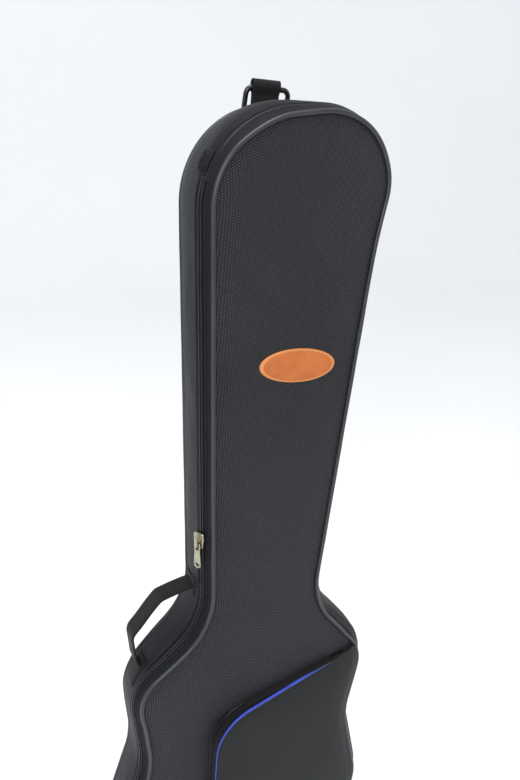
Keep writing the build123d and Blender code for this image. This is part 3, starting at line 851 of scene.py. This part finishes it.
def badge():
    """Oval leather badge laid on the crowned panel, with a raised rim and no lettering."""
    rings, spokes = 22, 96
    verts, rim, faces = [], [], []
    for layer in (0, 1):
        for r in range(rings + 1):
            share = (r / rings) ** 0.8
            for k in range(spokes):
                angle = 2 * pi * k / spokes
                a, b = BADGE[0] / 2 * share * cos(angle), BADGE[1] / 2 * share * sin(angle)
                x, z = on_badge(a, b)
                from_edge = (1 - share) * BADGE[1] / 2
                thick = 2.0 * sqrt(min(1, max(0, from_edge) / 0.9)) if layer == 0 else -0.6
                if layer == 0:
                    thick -= 0.45 * np.exp(-(((from_edge - BADGE_SEAM) / 0.55) ** 2))
                    thick += 0.18 * dome(max(0, from_edge - 3), 12)
                verts.append((x, thick, z))
                rim.append(1.0 if from_edge < 1.6 and layer == 0 else 0.0)
    points = np.array(verts)
    ground = front_y(points[:, 0], points[:, 2])
    points[:, 1] = ground - points[:, 1] - 0.1
    size = (rings + 1) * spokes
    for layer in (0, 1):
        for r in range(rings):
            for k in range(spokes):
                k2 = (k + 1) % spokes
                a, b = r * spokes, (r + 1) * spokes
                quad = [a + k, a + k2, b + k2, b + k]
                faces.append(tuple(v + layer * size for v in (quad if layer else quad[::-1])))
    for k in range(spokes):
        k2 = (k + 1) % spokes
        a = rings * spokes
        faces.append((a + k, a + k2, a + k2 + size, a + k + size))
    uvs = [(points[v][0], points[v][2]) for face in faces for v in face]
    obj = mesh_object("badge", points, faces, uvs, LEATHER)
    mark = obj.data.attributes.new("rim", "FLOAT", "POINT")
    mark.data.foreach_set("value", rim)
    work = bmesh.new()
    work.from_mesh(obj.data)
    bmesh.ops.remove_doubles(work, verts=work.verts, dist=1e-6)
    work.to_mesh(obj.data)
    work.free()
    return obj


placed(badge(), "lid", "leather", "leather_badge")
angles = np.linspace(0, 2 * pi, 140)
badge_x, badge_z = on_badge((BADGE[0] / 2 - BADGE_SEAM) * np.cos(angles),
                            (BADGE[1] / 2 - BADGE_SEAM) * np.sin(angles))
badge_rows = np.stack([badge_x, front_y(badge_x, badge_z) - 1.75, badge_z], 1)
placed(stitches("badge_stitches", badge_rows, [(0, -1, 0)] * 140, TAN_THREAD, 1.7, 1.1, 0.26),
       "lid", "leather")

# --- Pocket ---
def pocket_depth(x):
    """How far the pocket's face stands in front of the bag at x."""
    return POCKET_DEEP - (x - POCKET_LEFT) * (POCKET_DEEP - POCKET_THIN) / POCKET_SPAN


POCKET_TOP = 392.0
mouth_corners = [(POCKET_LEFT, POCKET_FLOOR), (POCKET_LEFT, POCKET_CORNER)]
mouth_corners += [(230.0, mouth_height(230.0)), (230.0, POCKET_FLOOR)]
POCKET_LOOP = make_path(rounded(mouth_corners, [POCKET_FOOT, POCKET_ROUND, 0, 0], True), 3.0, True)
inner_line = OUTLINE["at"] - OUTLINE["out"] * 1.0


def pocket_rows():
    """Rows of the pocket: its own left and mouth, the bag's seam on the right."""
    rows = []
    heights = np.concatenate([POCKET_FLOOR + 30 * (1 - np.cos(np.linspace(0, pi / 2, 12))),
                              np.linspace(58, POCKET_TOP, 110)])
    for z in heights + 0.02:
        own, seam = crossings(POCKET_LOOP["at"], z), crossings(inner_line, z)
        left = own.min() if len(own) else 0
        right = seam.max() if len(seam) else 0
        if right - left > 3:
            rows.append((z, left, right))
    return rows


POCKET_ROWS = pocket_rows()
rim_left = [(left, z) for z, left, right in POCKET_ROWS]
rim_floor = [(x, POCKET_FLOOR) for x in np.arange(POCKET_ROWS[0][1], POCKET_ROWS[0][2], 4)]
POCKET_EDGE = np.array(rim_left + rim_floor)
POCKET_SEAM = np.array([(right, z) for z, left, right in POCKET_ROWS])


def pocket_y(x, z):
    """Front of the pocket: bellied, and drawn down to the bag's seam on its right."""
    free = edge_distance(x, z, POCKET_EDGE)
    sewn_in = edge_distance(x, z, POCKET_SEAM)
    depth = pocket_depth(x) * smooth(sewn_in, -8, 16) + 1.6
    belly = 3.6 * dome(free, 60) * smooth(sewn_in, 0, 40)
    belly += 1.3 * ripple(x, z, 80, 5.7) * smooth(free, 2, 30) * smooth(sewn_in, 2, 30)
    return FRONT - depth - belly


pocket_bag = panel("pocket_bag", POCKET_ROWS, pocket_y, level(FRONT + 0.9), POCKET, 44, 6)
placed(pocket_bag, "lid", "ballistic_nylon", "pocket_panel", "pocket_gusset", fill=0.5)

MOUTH_RIGHT = POCKET_ZIP_RIGHT + 12
mouth_points = rounded([(MOUTH_RIGHT, mouth_height(MOUTH_RIGHT)),
                        (POCKET_LEFT, POCKET_CORNER), (POCKET_LEFT, POCKET_ZIP_FOOT)],
                       [0, POCKET_ROUND, 0], False)
MOUTH = make_path(mouth_points, 2.5)


def welt(i):
    """Blue piping on the pocket's edge, thinning round the corner and down."""
    x, z = MOUTH["at"][i]
    share = MOUTH["s"][i] / MOUTH["total"]
    radius = 2.2 - 1.2 * smooth(share, 0.15, 0.6)
    end = min(MOUTH["s"][i], MOUTH["total"] - MOUTH["s"][i])
    radius *= 0.35 + 0.65 * dome(end, 6)
    middle = FRONT - pocket_depth(x) - 0.6
    return [(0.2 - radius * cos(2 * pi * k / 12), middle + radius * sin(2 * pi * k / 12))
            for k in range(12)]


placed(sweep("pocket_welt", MOUTH, welt, BLUE), "lid", "accent_blue", "pocket_piping")
placed(sweep("pocket_zip_band", MOUTH,
             tape_profile(-0.6, 0.9, POCKET_ZIP_Y - 3.4, POCKET_ZIP_Y + 3.4), ZIP_CLOTH),
       "lid", "zip_tape", "pocket_zip_tape")
placed(sweep("pocket_zip_teeth", finer(MOUTH, 0.8), tooth_profile(None, 1.3, POCKET_ZIP_Y), TEETH),
       "lid", "zip_coil", "pocket_zip_coil")
tab_run = make_path(np.array([(128.0, mouth_height(128.0)), (101.0, mouth_height(101.0))]), 2.0)
placed(sweep("pocket_tab", tab_run, tape_profile(-0.8, 2.6, FRONT - 10.5, FRONT - 0.4), ZIP_CLOTH),
       "lid", "zip_tape", "pocket_zip_tab")
flap_run = part_of(MOUTH, lambda x, z: x > -22)
placed(sweep("pocket_mouth_band", flap_run, tape_profile(1.2, 3.6, FRONT - 15, FRONT - 3.4, 8),
             STRAP), "lid", "webbing")
for word, shift in (("upper", -4.6), ("lower", 4.6)):
    placed(stitches(f"pocket_stitches_{word}", *row_on_wall(MOUTH, POCKET_ZIP_Y + shift, 0.5, True),
                    THREAD), "lid", "zip_tape")

# --- Carrying handle ---
HANDLE = make_path(rounded(HANDLE_ROUTE[::-1], [0, 8, 18, 14, 4, 0], False), 1.6)


def band_profile(i):
    """Folded webbing: flat, with soft edges and a slight curl."""
    curl = 0.5 * noise.noise(Vector((i * 0.07, 2.0, 5.0)))
    y = np.linspace(-WEBBING / 2, WEBBING / 2, 14)
    edge = 1 - np.abs(y / (WEBBING / 2)) ** 8
    upper = [(0.5 + 1.45 * e + curl * (v / 15) ** 2, HANDLE_Y + v) for v, e in zip(y, edge)]
    lower = [(-0.5 - 1.45 * e + curl * (v / 15) ** 2, HANDLE_Y + v) for v, e in zip(y, edge)]
    return upper + lower[::-1]


HANDLE_END = 9          # points of the path in each end piece

handle_mid = sweep("handle_band", stretch(HANDLE, slice(HANDLE_END, -HANDLE_END)), band_profile,
                   STRAP)
placed(handle_mid, "carry_handle", "webbing", "carry_handle")


def handle_end(word, index, start, end):
    """Short end of the handle, between the bag and the swinging band."""
    obj = sweep(f"handle_end_{word}", stretch(HANDLE, index), band_profile, STRAP)
    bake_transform(obj)


def metre(point):
    """A point of the handle's path in metres."""
    return (point[0] * MM, HANDLE_Y * MM, point[1] * MM)


handle_end("lower", slice(HANDLE_END + 1), metre(HANDLE["at"][0]),
           metre(HANDLE["at"][HANDLE_END]))
handle_end("upper", slice(-HANDLE_END - 1, None), metre(HANDLE["at"][-1]),
           metre(HANDLE["at"][-HANDLE_END - 1]))
PATCH_Y = (HANDLE_Y - WEBBING / 2 - 3, HANDLE_Y + WEBBING / 2 + 3)
for word, low, high in (("upper", 483, 515), ("lower", 361, 391)):
    patch, patch_run = wall_patch(f"handle_patch_{word}_skin",
                                  lambda x, z: x < -60 and low < z < high, *PATCH_Y, 2.0, STRAP)
    placed(patch, "base", "webbing", f"handle_patch_{word}")
    placed(box_stitches(f"handle_stitches_{word}", patch_run, *PATCH_Y, 2.0, THREAD), "base",
           "webbing")

# --- Hanging tab ---
loop_top = LOOP_LOW + 3.0 + 3.6
tab_leg = [(0.85, HEAD_TOP - 34), (0.85, LOOP_LOW - 3), (LOOP_RADIUS, LOOP_LOW + 4)]
tab_points = [(TAB_Y + out, z) for out, z in tab_leg]
tab_points += [(TAB_Y + LOOP_RADIUS * cos(a), loop_top + LOOP_RADIUS * sin(a))
               for a in np.linspace(0, pi, 17)]
tab_points += [(TAB_Y - out, z) for out, z in tab_leg[::-1]]
TAB_LINE = make_path(np.array(tab_points), 1.6)
half = TAB_WIDTH / 2
tab_across = TAB_X + np.linspace(-half + 0.4, half - 0.4, 12)
tab_cut = [(0.8, v) for v in tab_across] + [(0, TAB_X + half)]
tab_cut += [(-0.8, v) for v in tab_across[::-1]] + [(0, TAB_X - half)]
placed(sweep("tab_loop", TAB_LINE, lambda i: tab_cut, STRAP, across="x"), "base", "webbing",
       "hang_tab")


def on_back(centre, turn):
    """Place at (x, z) of the back, turned about y."""
    return Matrix.Translation((centre[0], 0, centre[1])) @ Matrix.Rotation(turn, 4, "Y")


def block(name, centre, size, inner, outer, look, turn=0.0, belly=0.0, corner=6.0, grid=16):
    """Rounded flat piece on the back, from y inner to outer, turned about its middle."""
    wide, tall = size[0] / 2, size[1] / 2
    rows = []
    for z in np.concatenate([-tall + corner * (1 - np.cos(np.linspace(0, pi / 2, 7))),
                             np.linspace(-tall + corner, tall - corner, 2 + int(tall / 3))[1:-1],
                             tall - corner * (1 - np.cos(np.linspace(pi / 2, 0, 7)))]):
        over = max(0.0, abs(z) - (tall - corner))
        inset = corner - sqrt(max(0.0, corner ** 2 - over ** 2))
        rows.append((z, -wide + inset, wide - inset))

    def top(x, z):
        edge = np.minimum(wide - np.abs(x), tall - np.abs(z))
        return outer - 0.7 + 0.7 * dome(edge, 2.5) + belly * dome(edge, min(wide, 20))

    return panel(name, rows, level(inner), top, look, grid, 2, on_back(centre, turn))


def ring_of_stitches(name, centre, size, y, look, turn=0.0):
    """Sewn rectangle on the back."""
    wide, tall = size[0] / 2, size[1] / 2
    corners = [(-wide, -tall), (wide, -tall), (wide, tall), (-wide, tall)]
    line = make_path(rounded(corners, [4, 4, 4, 4], True), 3.0, True)["at"]
    line = np.vstack([line, line[:1]])
    place = on_back(centre, turn)
    points = [place @ Vector((x, y, z)) for x, z in line]
    return stitches(name, points, [(0, 1, 0)] * len(points), look)


placed(block("tab_patch", (TAB_X, HEAD_TOP - 52), (44, 62), BACK - 0.6, BACK + 2.0, SIDE), "base",
       "side_nylon", "hang_tab_patch")
placed(ring_of_stitches("tab_patch_stitches", (TAB_X, HEAD_TOP - 52), (37, 55), BACK + 1.9, THREAD),
       "base", "side_nylon")

# --- Shoulder straps on the back ---
for side, hand in ((-1, "left"), (1, "right")):
    top_at = np.array([side * STRAP_TOP[0], STRAP_TOP[1]])
    foot_at = np.array([side * STRAP_FOOT[0], STRAP_FOOT[1]])
    web_at = np.array([side * WEB_FOOT[0], WEB_FOOT[1]])
    pad_run, web_run = foot_at - top_at, web_at - foot_at
    pad_long, web_long = np.linalg.norm(pad_run), np.linalg.norm(web_run)
    pad_turn, web_turn = (atan2(-run[0], -run[1]) for run in (pad_run, web_run))
    pad = block(f"strap_pad_{hand}_skin", (top_at + foot_at) / 2, (51, pad_long - 3), BACK + 1.2,
                BACK + 7.4, SIDE, pad_turn, 1.5, 16, 20)
    inflate(pad, 4.5, 3.0)
    placed(pad, "base", "side_nylon", f"strap_pad_{hand}", fill=0.7)
    web_mid = (foot_at + web_at) / 2
    placed(block(f"strap_web_{hand}", web_mid, (25, web_long - 1), BACK + 2.0, BACK + 3.6, STRAP,
                 web_turn, 0, 1.0, 12), "base", "webbing", f"strap_webbing_{hand}")
    anchor_at = foot_at + web_run * (web_long - 12) / web_long
    placed(block(f"strap_foot_{hand}", anchor_at, (37, 34), BACK - 0.8, BACK + 1.9, SIDE, web_turn,
                 0, 3.0, 12), "base", "side_nylon", f"strap_anchor_{hand}")
placed(block("strap_top_patch", (0, STRAP_TOP[1] + 22), (124, 36), BACK - 0.6, BACK + 2.0, SIDE),
       "base", "side_nylon", "strap_head_patch")
placed(ring_of_stitches("strap_top_stitches", (0, STRAP_TOP[1] + 22), (116, 28), BACK + 1.9,
                        THREAD), "base", "side_nylon")

# --- Neck rest inside ---
def neck_rest():
    """Lined foam block with a cradle for the instrument's neck."""
    rows = [(z, -REST_HALF, REST_HALF) for z in np.linspace(REST_LOW, REST_HIGH, 16)]

    def cradle(x, z):
        dip = np.sqrt(np.maximum(0, NECK_RADIUS ** 2 - x ** 2))
        edge = np.minimum(REST_HALF - np.abs(x), np.minimum(z - REST_LOW, REST_HIGH - z))
        return CAVITY_BACK - 34 + dip + 2.5 * (1 - dome(edge, 8))

    return panel("neck_rest_pad", rows, cradle, level(CAVITY_BACK - 2.0), LINING, 48, 6)


placed(neck_rest(), "base", "lining", "neck_rest", fill=0.9)

# --- CAD parts that show as they are, with their own finish ---
KEPT = {
    "zip_slider": METAL, "zip_pull": METAL, "pocket_slider": METAL, "pocket_pull": METAL,
    "hang_ring": PLASTIC, "tail_rail_front": RUBBER, "tail_rail_rear": RUBBER,
    "strap_adjuster_left": PLASTIC, "strap_adjuster_right": PLASTIC,
}
for name, look in KEPT.items():
    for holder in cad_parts[name].material_slots:
        holder.material = look

# --- Studio and camera ---
def backdrop():
    """Pale floor that curves up into a wall behind."""
    profile = [(-6.0, 0.0), (4.0, 0.0)]
    profile += [(4.0 + 1.5 * sin(a), 1.5 - 1.5 * cos(a)) for a in np.linspace(0, pi / 2, 12)[1:]]
    profile += [(5.5, 6.0)]
    verts = [(x, y, z - 0.0005) for x in (-9.0, 9.0) for y, z in profile]
    n = len(profile)
    faces = [(k, k + 1, n + k + 1, n + k) for k in range(n - 1)]
    mesh = bpy.data.meshes.new("backdrop")
    mesh.from_pydata(verts, [], faces)
    mesh.polygons.foreach_set("use_smooth", [True] * len(faces))
    look = Look("paper", 0.9)
    shade = look.noise(look.coords("Object"), 0.7)
    colour = look.ramp(shade, (0.3, (0.92, 0.92, 0.92)), (0.7, (0.95, 0.95, 0.95)))
    mesh.materials.append(look.finish(colour, shade, 0.0001))
    obj = linked("backdrop", mesh)


def area(name, at, target, size, power, colour):
    """Soft square light aimed at a point."""
    data = bpy.data.lights.new(name, "AREA")
    data.shape = "RECTANGLE"
    data.size, data.size_y = size
    data.energy = power
    data.color = colour
    obj = linked(name, data)
    obj.location = at
    obj.rotation_euler = (Vector(target) - Vector(at)).to_track_quat("-Z", "Y").to_euler()


backdrop()
area("key", (-1.7, -2.3, 2.0), (0, 0, 0.6), (0.9, 1.5), 60, (0.78, 0.88, 1.0))
area("fill", (2.2, -1.6, 1.4), (0, 0, 0.5), (1.0, 1.4), 5, (1.0, 0.92, 0.84))
area("top", (-0.4, -0.2, 2.9), (0, 0, 0.8), (1.4, 1.0), 30, (1.0, 1.0, 1.0))
world = bpy.data.worlds.new("studio")
bpy.context.scene.world = world
world.use_nodes = True
world.node_tree.nodes["Background"].inputs["Color"].default_value = (0.95, 0.97, 1.0, 1)
world.node_tree.nodes["Background"].inputs["Strength"].default_value = 0.9

ahead = Vector((sin(AZIMUTH) * cos(ELEVATION), cos(AZIMUTH) * cos(ELEVATION), sin(ELEVATION)))
right = Vector((cos(AZIMUTH), -sin(AZIMUTH), 0))
up = right.cross(ahead)
right, up = (cos(ROLL) * right + sin(ROLL) * up, -sin(ROLL) * right + cos(ROLL) * up)
lens = bpy.data.cameras.new("camera")
lens.lens = LENS
lens.sensor_width = 36
lens.shift_x, lens.shift_y = SHIFT
camera = linked("camera", lens)
turn = Matrix((right, up, -ahead)).transposed().to_4x4()
camera.matrix_world = Matrix.Translation(CAMERA_AT) @ turn
bpy.context.scene.camera = camera

bpy.context.scene.view_settings.view_transform = "Standard"
